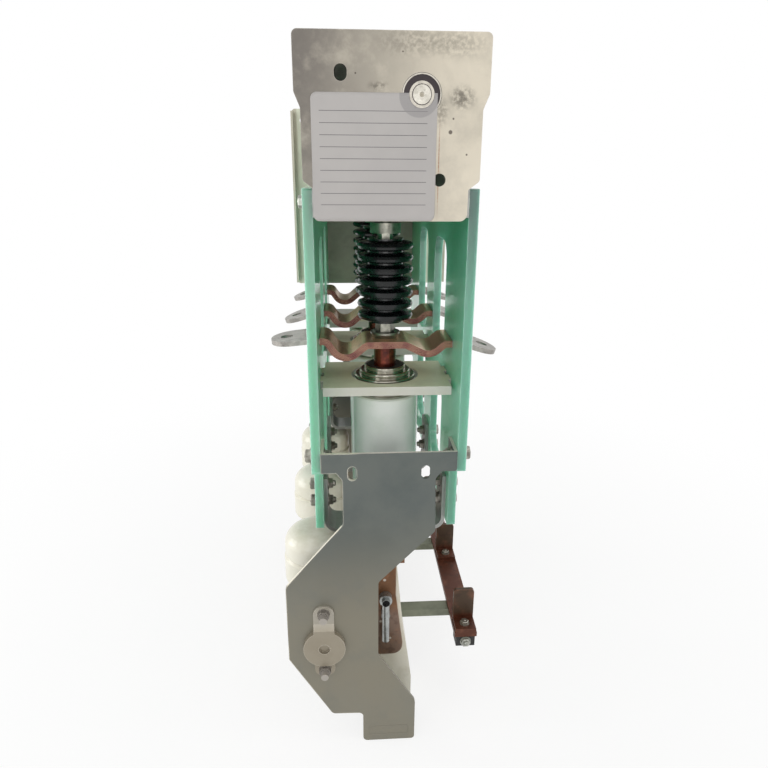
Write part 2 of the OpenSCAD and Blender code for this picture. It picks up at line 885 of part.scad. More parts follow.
// Block that carries the earth bar's near end
module bar_end_block() {
    half = earth_w / 2 - 2;
    front = -phase_pitch - 21;
    color("Black")
        difference() {
            box([earth_x - half, front, earth_low - 14], [earth_x + half, front + 19, earth_low]);
            row_rod(earth_x, front - cut, earth_low - 7, 3, 12);
        }
}

// Copper blocks between the posts and the saddles
module lower_terminals() {
    half = 22;
    color("Sienna")
        for (y = poles)
            box([-half, y - post_d / 2, post_top], [half, y + post_d / 2, saddle_low]);
}

// Earth bar along the row with an upright ear at each pole
module earth_bar() {
    half = earth_w / 2;
    foot = 22;
    near_end = -phase_pitch - foot;
    far_end = phase_pitch + post_d / 2 + arm_d + 5;
    ear = rounded([
        [earth_x - half + 1, earth_top, 0], [earth_x + half - 1, earth_top, 0],
        [earth_x + half - 1, earth_top + ear_h, 4], [earth_x - half + 1, earth_top + ear_h, 4]
    ]);
    color("Maroon") {
        box([earth_x - half, near_end, earth_low], [earth_x + half, far_end, earth_top]);
        for (y = poles) {
            across_sheet(ear, y, ear_t);
            box([earth_x - half + 1, y - foot, earth_top], [earth_x + half - 1, y + ear_t, earth_top + ear_t]);
        }
    }
}

// Cross arms from the posts to the earth bar
module earth_bar_arms() {
    y0 = post_d / 2;
    color("DarkSeaGreen")
        for (y = poles)
            box([-20, y + y0, earth_low - arm_t], [earth_x + earth_w / 2, y + y0 + arm_d, earth_low]);
}

front_end_plate();
top_channel();
mechanism_panel();
shaft_bearings();
drive_shaft();
left_side_board();
right_side_board();
pull_rod(poles[0]);  // pull_rod_1
pull_rod(poles[1]);  // pull_rod_2
pull_rod(poles[2]);  // pull_rod_3
rod_fittings();
moving_stems();
flexible_connector(0);  // flexible_connector_1
flexible_connector(1);  // flexible_connector_2
flexible_connector(2);  // flexible_connector_3
left_lugs();
right_lugs();
support_shelf(poles[0]);  // support_shelf_1
support_shelf(poles[1]);  // support_shelf_2
support_shelf(poles[2]);  // support_shelf_3
interrupter(poles[0]);  // interrupter_1
interrupter(poles[1]);  // interrupter_2
interrupter(poles[2]);  // interrupter_3
interrupter_cap(poles[0]);  // interrupter_cap_1
interrupter_cap(poles[1]);  // interrupter_cap_2
interrupter_cap(poles[2]);  // interrupter_cap_3
guide_bushes();
lower_saddle(poles[0]);  // lower_saddle_1
lower_saddle(poles[1]);  // lower_saddle_2
lower_saddle(poles[2]);  // lower_saddle_3
front_switch_bracket();
rear_switch_bracket();
switch_bearing_caps();
switch_shaft();
insulating_arm(poles[0]);  // insulating_arm_1
insulating_arm(poles[1]);  // insulating_arm_2
insulating_arm(poles[2]);  // insulating_arm_3
bottom_tie_bar();
post_insulator(poles[0]);  // post_insulator_1
post_insulator(poles[1]);  // post_insulator_2
post_insulator(poles[2]);  // post_insulator_3
switch_blades();
blade_contacts();
lower_terminals();
earth_bar();
bar_end_block();
earth_bar_arms();
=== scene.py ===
import json
import math

import bmesh
import bpy
from mathutils import Matrix, Vector

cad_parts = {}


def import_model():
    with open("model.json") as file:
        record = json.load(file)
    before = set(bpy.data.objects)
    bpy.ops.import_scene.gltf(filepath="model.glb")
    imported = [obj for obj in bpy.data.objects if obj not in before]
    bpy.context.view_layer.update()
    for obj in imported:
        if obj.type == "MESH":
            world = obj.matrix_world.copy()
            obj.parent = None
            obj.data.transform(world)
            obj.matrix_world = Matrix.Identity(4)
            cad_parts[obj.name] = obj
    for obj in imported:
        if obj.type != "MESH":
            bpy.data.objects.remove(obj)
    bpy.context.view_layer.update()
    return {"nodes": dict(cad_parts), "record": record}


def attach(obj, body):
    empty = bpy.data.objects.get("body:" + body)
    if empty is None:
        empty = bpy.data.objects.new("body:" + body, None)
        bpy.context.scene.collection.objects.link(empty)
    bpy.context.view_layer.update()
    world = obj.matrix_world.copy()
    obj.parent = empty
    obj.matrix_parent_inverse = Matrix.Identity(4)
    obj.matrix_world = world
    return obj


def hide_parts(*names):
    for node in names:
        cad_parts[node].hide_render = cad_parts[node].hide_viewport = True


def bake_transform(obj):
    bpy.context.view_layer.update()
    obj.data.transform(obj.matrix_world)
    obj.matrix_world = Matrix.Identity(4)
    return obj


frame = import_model()
NODES = frame["nodes"]
MM = 0.001

# Places that several pieces share, in millimetres
POLES = (-150.0, 0.0, 150.0)
BOARD_IN, BOARD_OUT = 67.5, 76.5
PLATE_FACE = -232
SHAFT_X, SHAFT_Z = 24, 685


def at(x, y, z):
    """A place in millimetres as metres."""
    return Vector((x * MM, y * MM, z * MM))


def tint(red, green, blue):
    """A screen colour, 0 to 255, as linear light."""
    def channel(v):
        v /= 255
        return v / 12.92 if v <= 0.04045 else ((v + 0.055) / 1.055) ** 2.4
    return (channel(red), channel(green), channel(blue), 1.0)


# Shared effects

def effect(name, inputs, outputs):
    """An empty shader node group with named sockets, and its two ends."""
    tree = bpy.data.node_groups.new(name, "ShaderNodeTree")
    for label, kind, value in inputs:
        socket = tree.interface.new_socket(label, in_out="INPUT", socket_type=kind)
        socket.default_value = value
    for label, kind in outputs:
        tree.interface.new_socket(label, in_out="OUTPUT", socket_type=kind)
    return tree, tree.nodes.new("NodeGroupInput"), tree.nodes.new("NodeGroupOutput")


def blotches():
    """Soft patches with a set size, cover and softness."""
    tree, inp, out = effect(
        "blotches",
        [("Scale", "NodeSocketFloat", 20.0), ("Cover", "NodeSocketFloat", 0.5),
         ("Softness", "NodeSocketFloat", 0.1), ("Shift", "NodeSocketFloat", 0.0)],
        [("Mask", "NodeSocketFloat")],
    )
    link = tree.links.new
    coords = tree.nodes.new("ShaderNodeTexCoord")
    move = tree.nodes.new("ShaderNodeVectorMath")
    move.operation = "ADD"
    noise = tree.nodes.new("ShaderNodeTexNoise")
    noise.inputs["Detail"].default_value = 6
    noise.inputs["Roughness"].default_value = 0.62
    low = tree.nodes.new("ShaderNodeMath")
    low.operation = "SUBTRACT"
    high = tree.nodes.new("ShaderNodeMath")
    span = tree.nodes.new("ShaderNodeMapRange")
    span.interpolation_type = "SMOOTHSTEP"
    flip = tree.nodes.new("ShaderNodeMath")
    flip.operation = "SUBTRACT"
    flip.inputs[0].default_value = 1.0
    link(coords.outputs["Object"], move.inputs[0])
    link(inp.outputs["Shift"], move.inputs[1])
    link(move.outputs[0], noise.inputs["Vector"])
    link(inp.outputs["Scale"], noise.inputs["Scale"])
    link(inp.outputs["Cover"], flip.inputs[1])
    for limit in (low, high):
        link(flip.outputs[0], limit.inputs[0])
        link(inp.outputs["Softness"], limit.inputs[1])
    link(noise.outputs["Fac"], span.inputs["Value"])
    link(low.outputs[0], span.inputs["From Min"])
    link(high.outputs[0], span.inputs["From Max"])
    link(span.outputs["Result"], out.inputs["Mask"])
    return tree


def rolled_grain():
    """Fine streaks along one axis, as a height."""
    tree, inp, out = effect(
        "rolled_grain",
        [("Stretch", "NodeSocketVector", (1, 1, 1)), ("Scale", "NodeSocketFloat", 400.0)],
        [("Height", "NodeSocketFloat")],
    )
    link = tree.links.new
    coords = tree.nodes.new("ShaderNodeTexCoord")
    times = tree.nodes.new("ShaderNodeVectorMath")
    times.operation = "MULTIPLY"
    noise = tree.nodes.new("ShaderNodeTexNoise")
    noise.inputs["Detail"].default_value = 3
    link(coords.outputs["Object"], times.inputs[0])
    link(inp.outputs["Stretch"], times.inputs[1])
    link(times.outputs[0], noise.inputs["Vector"])
    link(inp.outputs["Scale"], noise.inputs["Scale"])
    link(noise.outputs["Fac"], out.inputs["Height"])
    return tree


def worn_and_highlit_edges():
    """Mask of edges, broken up by fine noise: rubbed edges for most finishes, painted highlights on the
    bracket.
    """
    tree, inp, out = effect(
        "worn_and_highlit_edges",
        [("Radius", "NodeSocketFloat", 0.0012), ("Break", "NodeSocketFloat", 90.0)],
        [("Mask", "NodeSocketFloat")],
    )
    link = tree.links.new
    rounded = tree.nodes.new("ShaderNodeBevel")
    rounded.samples = 4
    surface = tree.nodes.new("ShaderNodeNewGeometry")
    dot = tree.nodes.new("ShaderNodeVectorMath")
    dot.operation = "DOT_PRODUCT"
    edge = tree.nodes.new("ShaderNodeMapRange")
    edge.inputs["From Min"].default_value = 0.995
    edge.inputs["From Max"].default_value = 0.85
    coords = tree.nodes.new("ShaderNodeTexCoord")
    noise = tree.nodes.new("ShaderNodeTexNoise")
    noise.inputs["Detail"].default_value = 4
    patchy = tree.nodes.new("ShaderNodeMapRange")
    patchy.inputs["From Min"].default_value = 0.35
    patchy.inputs["From Max"].default_value = 0.6
    both = tree.nodes.new("ShaderNodeMath")
    both.operation = "MULTIPLY"
    link(inp.outputs["Radius"], rounded.inputs["Radius"])
    link(rounded.outputs["Normal"], dot.inputs[0])
    link(surface.outputs["True Normal"], dot.inputs[1])
    link(dot.outputs["Value"], edge.inputs["Value"])
    link(coords.outputs["Object"], noise.inputs["Vector"])
    link(inp.outputs["Break"], noise.inputs["Scale"])
    link(noise.outputs["Fac"], patchy.inputs["Value"])
    link(edge.outputs["Result"], both.inputs[0])
    link(patchy.outputs["Result"], both.inputs[1])
    link(both.outputs[0], out.inputs["Mask"])
    return tree


BLOTCHES = blotches()
GRAIN = rolled_grain()
EDGES = worn_and_highlit_edges()
ROUND_ROW = (1, 0, 1)  # weights that measure a distance from a line along the row


class Finish:
    """A material under construction: the shader and a colour that layers build up."""

    def __init__(self, name, colour, roughness, metallic=0.0, specular=0.5, coat=0.0):
        self.material = bpy.data.materials.new(name)
        self.material.use_nodes = True
        self.tree = self.material.node_tree
        self.shader = next(n for n in self.tree.nodes if n.type == "BSDF_PRINCIPLED")
        self.set("Base Color", colour)
        self.set("Roughness", roughness)
        self.set("Metallic", metallic)
        self.set("Specular IOR Level", specular)
        self.set("Coat Weight", coat)
        self.set("Coat Roughness", 0.08)
        self.colour = colour
        self.roughness = roughness

    def set(self, socket, value):
        self.shader.inputs[socket].default_value = value

    def node(self, kind, **values):
        made = self.tree.nodes.new(kind)
        for key, value in values.items():
            made.inputs[key].default_value = value
        return made

    def group(self, tree, **values):
        """One of the shared effects with its own values. Gives its only output."""
        made = self.tree.nodes.new("ShaderNodeGroup")
        made.node_tree = tree
        for key, value in values.items():
            made.inputs[key].default_value = value
        return made.outputs[0]

    def link(self, source, target):
        self.tree.links.new(source, target)

    def put(self, socket, value):
        """Links an output to a socket, or sets a plain value on it."""
        if hasattr(value, "is_output"):
            self.link(value, socket)
        else:
            socket.default_value = value

    def calc(self, operation, *values):
        """Arithmetic on outputs and plain numbers."""
        made = self.node("ShaderNodeMath")
        made.operation = operation
        for socket, value in zip(made.inputs, values):
            self.put(socket, value)
        return made.outputs[0]

    def ramp(self, value, start, end, low=0.0, high=1.0, smooth=True):
        """A change from low to high while a value goes from start to end."""
        limits = {"From Min": start, "From Max": end, "To Min": low, "To Max": high}
        made = self.node("ShaderNodeMapRange", **limits)
        if smooth:
            made.interpolation_type = "SMOOTHSTEP"
        self.link(value, made.inputs["Value"])
        return made.outputs["Result"]

    def part(self, axis, kind="Object"):
        """One component of the object's coordinates, or of its normal."""
        coords = self.node("ShaderNodeTexCoord")
        parts = self.node("ShaderNodeSeparateXYZ")
        self.link(coords.outputs[kind], parts.inputs[0])
        return parts.outputs[axis]

    def distance(self, place, weights=(1, 1, 1)):
        """The distance in metres from a place in millimetres, with each axis weighted."""
        value = self.node("ShaderNodeTexCoord").outputs["Object"]
        for operation, vector in (("SUBTRACT", at(*place)), ("MULTIPLY", weights)):
            step = self.node("ShaderNodeVectorMath")
            step.operation = operation
            step.inputs[1].default_value = vector
            self.link(value, step.inputs[0])
            value = step.outputs[0]
        size = self.node("ShaderNodeVectorMath")
        size.operation = "LENGTH"
        self.link(value, size.inputs[0])
        return size.outputs["Value"]

    # Masks

    def along(self, axis, start, end):
        """A ramp from 0 to 1 along an axis of the object, between two places in millimetres."""
        return self.ramp(self.part(axis), start * MM, end * MM)

    def near(self, place, core, rim, weights=(1, 1, 1)):
        """A mask around a place in millimetres, full inside core and gone at rim."""
        return self.ramp(self.distance(place, weights), core * MM, rim * MM, 1.0, 0.0)

    def facing(self, axis, start=0.5, end=0.9):
        """A mask of the faces that look along an axis, either way."""
        return self.ramp(self.calc("ABSOLUTE", self.part(axis, "Normal")), start, end, smooth=False)

    def both(self, first, second):
        return self.calc("MULTIPLY", first, second)

    def band(self, value, low, high):
        """A mask of the places where a value lies between two others."""
        return self.both(self.calc("GREATER_THAN", value, low), self.calc("LESS_THAN", value, high))

    # Layers

    def layer(self, mask, colour, strength=1.0):
        """Lays another colour over the one below where the mask is white."""
        mix = self.node("ShaderNodeMix")
        mix.data_type = "RGBA"
        self.link(self.calc("MULTIPLY", mask, strength), mix.inputs["Factor"])
        self.put(mix.inputs["A"], self.colour)
        self.put(mix.inputs["B"], colour)
        self.colour = mix.outputs["Result"]

    def patches(self, colour, scale, cover, softness, strength=1.0, shift=0.0):
        """Soft patches: a larger scale makes them smaller, and shift moves the pattern."""
        mask = self.group(BLOTCHES, Scale=scale, Cover=cover, Softness=softness, Shift=shift)
        self.layer(mask, colour, strength)

    def worn(self, colour, radius=0.0012, strength=0.8, broken=90.0):
        """Rubbed edges as wide as a radius in metres."""
        self.layer(self.group(EDGES, Radius=radius, Break=broken), colour, strength)

    def smudge(self, colour, place, core, rim, weights, scale, cover, strength):
        """A grimy mark around a place, broken up by fine noise."""
        fine = self.group(BLOTCHES, Scale=scale, Cover=cover, Softness=0.12, Shift=place[2] * MM)
        self.layer(self.both(self.near(place, core, rim, weights), fine), colour, strength)

    def grain(self, stretch, scale, depth, swing=0.0):
        """Bump from fine streaks, which also swing the roughness a little."""
        height = self.group(GRAIN, Stretch=stretch, Scale=scale)
        bump = self.node("ShaderNodeBump", Strength=depth, Distance=0.0004)
        self.link(height, bump.inputs["Height"])
        self.link(bump.outputs["Normal"], self.shader.inputs["Normal"])
        if swing:
            low, high = max(0.02, self.roughness - swing), min(1.0, self.roughness + swing)
            rough = self.ramp(height, 0.0, 1.0, low, high, smooth=False)
            self.link(rough, self.shader.inputs["Roughness"])
        return self

    def done(self):
        self.put(self.shader.inputs["Base Color"], self.colour)
        return self.material


# Finishes

def plate_finish():
    """Passivated end plate: grey on the left, turning cream to the right as a painted reflection, with
    clouds, grimy marks and specks.
    """
    f = Finish("stained_end_plate", tint(112, 106, 99), 0.5, metallic=0.15)
    # Painted reflection: grey on the left, lightening to cream towards the right.
    f.layer(f.along("X", -84, 72), tint(214, 205, 187))
    f.patches(tint(158, 152, 140), 24, 0.44, 0.14, 0.4)
    f.patches(tint(226, 217, 198), 30, 0.4, 0.12, 0.3, shift=3.1)
    marks = (  # x, z, core, rim, weights, strength
        (57, 683, 2, 15, (1, 1, 1.2), 0.8),
        (-12, 691, 1, 9, (0.8, 1, 1.6), 0.7),
        (20, 723, 4, 34, (0.7, 1, 2.2), 0.4),
        (52, 722, 3, 28, (0.8, 1, 1.9), 0.4),
        (40, 672, 2, 9, (1, 1, 0.6), 0.5),
    )
    for x, z, core, rim, weights, strength in marks:
        f.smudge(tint(92, 86, 76), (x, PLATE_FACE, z), core, rim, weights, 300, 0.52, strength)
    specks = (  # x, z, radius
        (48.4, 656.7, 2.0), (62.7, 639.3, 1.0), (50.5, 667, 1.0), (-30, 700, 0.9), (8, 716, 0.8),
    )
    for x, z, radius in specks:
        f.layer(f.near((x, PLATE_FACE, z), radius * 0.6, radius), tint(70, 58, 50), 0.85)
    rust_line = (39.3, PLATE_FACE, 628)
    f.smudge(tint(150, 96, 62), rust_line, 0.2, 0.8, (1, 1, 0.016), 500, 0.6, 0.7)
    f.patches(tint(96, 90, 80), 520, 0.27, 0.03, 0.45, shift=1.3)
    f.worn(tint(225, 220, 208), 0.0012, 0.5)
    return f.grain((1, 1, 6), 300, 0.1, 0.08).done()


def zinc_finish():
    """Dull zinc sheet with fine spangle and a few darker clouds."""
    f = Finish("dull_zinc", tint(150, 151, 148), 0.42, metallic=0.65)
    f.patches(tint(166, 167, 163), 110, 0.5, 0.16, 0.5)
    f.patches(tint(132, 132, 128), 16, 0.42, 0.2, 0.3, shift=5)
    f.patches(tint(118, 117, 112), 260, 0.3, 0.05, 0.3, shift=2)
    f.worn(tint(205, 205, 200))
    return f.grain((1, 1, 8), 500, 0.12, 0.1).done()


def panel_finish():
    """Mechanism panel: its sheltered inner face is painted lighter, as painted light for the dim space
    between the boards.
    """
    f = Finish("cream_panel", tint(190, 185, 165), 0.45, metallic=0.05)
    between_lips = f.both(f.along("X", -112, -108), f.along("X", 112, 108))
    # Painted light: the inner face between the lips is painted near white to brighten the dim interior.
    f.layer(f.both(between_lips, f.along("Y", 231, 229.6)), tint(236, 240, 218))
    f.patches(tint(200, 196, 178), 18, 0.5, 0.14, 0.5)
    f.patches(tint(170, 172, 148), 40, 0.38, 0.08, 0.3, shift=2)
    f.worn(tint(226, 222, 208), 0.002, 0.9)
    return f.grain((1, 1, 1), 600, 0.06, 0.06).done()


def bracket_finish(name="cloudy_bracket", painted_highlight=1.0):
    """Zinc-plated bracket: bluish above, warm below, with clouds, and painted highlights on the left edges
    and on top.
    """
    f = Finish(name, tint(130, 125, 110), 0.42, metallic=0.3)
    f.layer(f.along("Z", 150, 320), tint(82, 90, 88))
    f.patches(tint(124, 125, 117), 12, 0.48, 0.16, 0.3)
    f.patches(tint(98, 103, 102), 22, 0.42, 0.14, 0.25, shift=4.4)
    f.patches(tint(160, 156, 142), 320, 0.26, 0.03, 0.3, shift=8)
    # Painted highlight: a pale strip on the upward faces at the top edge.
    f.layer(f.both(f.facing("Z"), f.along("Z", 360, 364)), tint(226, 216, 208))
    # Painted highlight on the left edges and upward faces, as if lit from the left.
    left = f.along("X", -25, -40)
    for mask in (f.group(EDGES, Radius=0.0017, Break=20.0), f.facing("Z", 0.5, 0.65)):
        f.layer(f.both(mask, left), tint(238, 232, 214), painted_highlight)
    return f.grain((1, 1, 5), 420, 0.05, 0.06).done()


def steel_finish(name, colour, bright, roughness, metallic=0.85):
    """Bare or plated steel with bright patches and edges and some dark spots."""
    f = Finish(name, colour, roughness, metallic=metallic)
    f.patches(bright, 120, 0.5, 0.1, 0.6)
    f.patches(tint(80, 76, 70), 200, 0.36, 0.05, 0.35, shift=6)
    f.worn(bright, 0.0008, 0.7)
    return f.grain((1, 1, 7), 700, 0.1, 0.08).done()


def cap_finish():
    """Pressed bearing cap: smooth warm zinc with bright rims, a pale tab and darker nuts with bright ends."""
    f = Finish("pressed_cap", tint(146, 137, 120), 0.4, metallic=0.3)
    f.patches(tint(158, 150, 134), 40, 0.48, 0.16, 0.4)
    f.patches(tint(112, 106, 96), 260, 0.27, 0.03, 0.35, shift=6)
    f.layer(f.along("Z", 158, 172), tint(176, 172, 162), 0.6)
    for side in (-1, 1):
        f.layer(f.along("Y", side * 235.4, side * 236.2), tint(186, 182, 174))
        for stud_z in (181, 108):
            nut = f.near((-69, side * 233.5, stud_z), 6.4, 6.8, ROUND_ROW)
            stud_end = f.near((-69, side * 244.5, stud_z), 3.9, 4.1, ROUND_ROW)
            f.layer(nut, tint(110, 104, 98), 0.7)
            f.layer(stud_end, tint(168, 162, 154), 0.9)
    f.worn(tint(224, 218, 204), 0.001, 0.8, 25.0)
    return f.grain((1, 1, 3), 500, 0.05, 0.06).done()


def bearing_finish():
    """Ground rings with a black rubber seal between them and dark joints beside them."""
    f = Finish("sealed_bearing", tint(196, 190, 178), 0.3, metallic=0.4)
    radius = f.distance((SHAFT_X, 0, SHAFT_Z), ROUND_ROW)
    f.patches(tint(150, 144, 134), 160, 0.45, 0.08, 0.5)
    for low, high in ((0.0, 8.1), (10.3, 15.0), (16.1, 17.0)):
        f.layer(f.band(radius, low * MM, high * MM), tint(46, 38, 40))
    return f.grain((1, 1, 1), 900, 0.06, 0.06).done()


def board_finish(name, edge, cloud, shaded_edge_top):
    """Green glass laminate: pale cut edges, painted darker towards the top as painted shade, and darker
    glossy faces with a cloudy depth.
    """
    f = Finish(name, edge, 0.34, specular=0.5, coat=0.45)
    f.patches(cloud, 25, 0.5, 0.15, 0.5)
    # Painted shade: the edges darken towards the top.
    f.layer(f.along("Z", 480, 610), shaded_edge_top, 0.8)
    f.layer(f.facing("X"), tint(122, 191, 168))
    deep = f.group(BLOTCHES, Scale=9.0, Cover=0.5, Softness=0.2, Shift=2.0)
    f.layer(f.both(deep, f.facing("X")), tint(98, 168, 138), 0.6)
    f.patches(tint(190, 226, 204), 300, 0.28, 0.03, 0.4, shift=9)
    f.worn(tint(190, 230, 206), 0.001, 0.7)
    f.set("Subsurface Weight", 0.9)
    f.set("Subsurface Radius", (0.6, 1.0, 0.8))
    f.set("Subsurface Scale", 0.03)
    return f.grain((1, 1, 1), 160, 0.05, 0.08).done()


def rod_finish():
    """Glossy black moulding with a little dust."""
    f = Finish("black_moulding", tint(14, 17, 18), 0.26, specular=0.35, coat=0.2)
    f.patches(tint(26, 30, 31), 60, 0.42, 0.12, 0.6)
    f.patches(tint(60, 62, 60), 420, 0.25, 0.03, 0.35, shift=3)
    return f.grain((1, 1, 1), 500, 0.04, 0.08).done()


def strip_finish():
    """Stacked copper strips: pinkish brown edges and golden faces."""
    f = Finish("stacked_copper_strip", tint(106, 64, 62), 0.3, metallic=0.7)
    f.layer(f.facing("Y", 0.5, 0.2), tint(226, 186, 148))
    f.patches(tint(176, 138, 104), 50, 0.42, 0.12, 0.2)
    f.patches(tint(104, 70, 56), 80, 0.36, 0.08, 0.4, shift=4)
    f.worn(tint(214, 178, 142), 0.0006, 0.6)
    return f.grain((1, 10, 1), 320, 0.12, 0.1).done()


def stem_finish():
    """Bare copper stem with brighter and darker stretches."""
    bright = tint(152, 72, 50)
    f = Finish("bare_copper", tint(82, 32, 23), 0.2, metallic=0.6)
    f.patches(bright, 55, 0.46, 0.1, 0.55)
    f.patches(tint(48, 19, 15), 90, 0.42, 0.08, 0.5, shift=5)
    f.worn(bright, 0.001, 0.7)
    return f.grain((1, 1, 9), 360, 0.12, 0.1).done()


def earth_finish():
    """Dark copper earth bar with duller, greyer ears."""
    f = Finish("dark_earth_copper", tint(84, 43, 26), 0.42, metallic=0.4)
    f.layer(f.along("Z", 104, 112), tint(66, 55, 40), 0.8)
    f.patches(tint(140, 90, 68), 55, 0.42, 0.1, 0.4)
    f.patches(tint(54, 36, 28), 90, 0.42, 0.08, 0.5, shift=5)
    f.patches(tint(176, 166, 150), 420, 0.25, 0.03, 0.5, shift=2)
    f.worn(tint(164, 108, 82), 0.001, 0.7)
    return f.grain((1, 1, 9), 360, 0.12, 0.1).done()


def blade_finish():
    """Switch blade: warm copper above, a duller, greyer end with a rubbed rim, and three rivets."""
    f = Finish("tarnished_blade", tint(128, 106, 92), 0.38, metallic=0.4)
    f.layer(f.along("Z", 132, 158), tint(112, 76, 48))
    f.patches(tint(160, 114, 80), 55, 0.44, 0.1, 0.35)
    f.patches(tint(78, 56, 44), 90, 0.42, 0.08, 0.45, shift=5)
    for x, z in ((-1, 186.5), (-5.2, 130), (5.6, 106)):
        f.layer(f.near((x, 0, z), 1.3, 1.9, ROUND_ROW), tint(206, 198, 186), 0.9)
    f.worn(tint(196, 172, 148), 0.0016, 0.8, 25.0)
    return f.grain((1, 1, 9), 360, 0.1, 0.1).done()


def contact_finish():
    """Bright spring cup and link pin, with painted shade of near black in the cup's hollow end."""
    f = Finish("bright_contacts", tint(150, 153, 152), 0.28, metallic=0.85)
    f.patches(tint(182, 185, 183), 120, 0.5, 0.1, 0.6)
    f.patches(tint(80, 78, 74), 200, 0.36, 0.05, 0.4, shift=6)
    # Painted shade: the hollow in the cup's end is painted near black.
    hollow_shade = f.both(f.near((0, 0, 164.5), 4.1, 4.4, ROUND_ROW), f.facing("Y"))
    f.layer(hollow_shade, tint(24, 24, 24))
    return f.grain((1, 1, 7), 700, 0.08, 0.06).done()


def resin_finish(name, colour, pale, dark, roughness, coat=0.0):
    """Moulded resin, ceramic or plain laminate with faint clouds, specks and pale edges."""
    f = Finish(name, colour, roughness, specular=0.45, coat=coat)
    f.patches(pale, 20, 0.5, 0.16, 0.6)
    f.patches(dark, 40, 0.4, 0.1, 0.4, shift=6)
    f.patches(dark, 380, 0.26, 0.03, 0.5, shift=2)
    f.worn(pale, 0.0014, 0.6)
    return f.grain((1, 1, 1), 420, 0.05, 0.06).done()


def shelf_finish():
    """White laminate shelf: a bright sawn edge and an oily, duller top."""
    f = Finish("pale_shelf", tint(203, 202, 191), 0.4, specular=0.5)
    f.layer(f.facing("Z"), tint(236, 236, 204))
    f.patches(tint(188, 186, 158), 24, 0.46, 0.14, 0.4)
    f.patches(tint(150, 148, 126), 300, 0.26, 0.03, 0.4, shift=2)
    f.worn(tint(236, 234, 224), 0.001, 0.7)
    return f.grain((1, 1, 1), 420, 0.05, 0.06).done()


def paper_finish():
    """Blank sheet with plain ruled lines and a grey round about the shaft's end."""
    first_line, pitch, width = 580, 9.2, 0.55
    f = Finish("ruled_paper", tint(184, 180, 177), 0.6, specular=0.3)
    f.patches(tint(174, 170, 168), 14, 0.5, 0.2, 0.7)
    height = f.calc("SUBTRACT", f.part("Z"), first_line * MM)
    line = f.band(f.calc("MODULO", height, pitch * MM), 0.0, width * MM)
    for axis, low, high in (("X", -60, 29), ("Z", 590, 674)):
        line = f.both(line, f.band(f.part(axis), low * MM, high * MM))
    f.layer(line, tint(96, 94, 96), 0.8)
    f.layer(f.near((22, PLATE_FACE, 684), 16.0, 17.0, ROUND_ROW), tint(146, 143, 143), 0.6)
    return f.grain((1, 1, 1), 900, 0.04).done()


FINISHES = {
    "plate_paint": plate_finish(),
    "zinc_sheet": zinc_finish(),
    "panel_paint": panel_finish(),
    "bearing_steel": bearing_finish(),
    "shaft_steel": steel_finish("turned_shaft", tint(170, 166, 156), tint(206, 202, 192), 0.3),
    "bright_steel": steel_finish("plated_fittings", tint(118, 118, 109), tint(164, 162, 150), 0.3),
    "stem_copper": stem_finish(),
    "tinned_copper": steel_finish("tinned_lugs", tint(146, 142, 137), tint(182, 178, 171), 0.4, 0.6),
    "black_bush": resin_finish("black_guide", tint(24, 24, 24), tint(44, 44, 43), tint(14, 14, 14), 0.5),
    "bracket_paint": bracket_finish(),
    "cap_steel": cap_finish(),
    "blade_copper": blade_finish(),
    "earth_copper": earth_finish(),
    "arm_laminate": resin_finish(
        "glass_laminate_arm", tint(112, 116, 99), tint(140, 144, 125), tint(86, 89, 77), 0.5),
    "green_laminate": board_finish(
        "green_laminate", tint(119, 171, 146), tint(130, 181, 156), tint(90, 130, 112)),
    "black_insulator": rod_finish(),
    "strip_copper": strip_finish(),
    "white_laminate": shelf_finish(),
    "cap_chrome": steel_finish("bright_rings", tint(150, 146, 134), tint(184, 180, 168), 0.16, 0.95),
    "ceramic": resin_finish(
        "glazed_ceramic", tint(222, 227, 220), tint(234, 237, 231), tint(210, 220, 207), 0.22),
    "ivory_resin": resin_finish(
        "ivory_moulding", tint(222, 218, 200), tint(236, 233, 220), tint(198, 192, 166), 0.36, 0.45),
}
slot_of = {s["node"]: s["material_slot"] for s in frame["record"]["subparts"]}
own_finish = {
    "blade_contacts": contact_finish(),
    "lower_terminals": FINISHES["blade_copper"],
    # The tie bar takes the bracket's painted highlights only faintly.
    "bottom_tie_bar": bracket_finish("tie_bar_faint_highlight", 0.15),
    # Painted shade: the right board takes darker, greyer tints, as if in shadow from light on the left.
    "right_side_board": board_finish(
        "right_laminate_painted_shade", tint(103, 155, 136), tint(112, 164, 144), tint(70, 94, 90)),
}
for name, node in NODES.items():
    for place in node.material_slots:
        place.material = own_finish.get(name, FINISHES[slot_of[name]])


# Fasteners

FASTENER_SIZES = (
    "Hex Radius", "Hex Height", "Washer Radius", "Washer Height", "Stud Radius", "Stud Length",
)


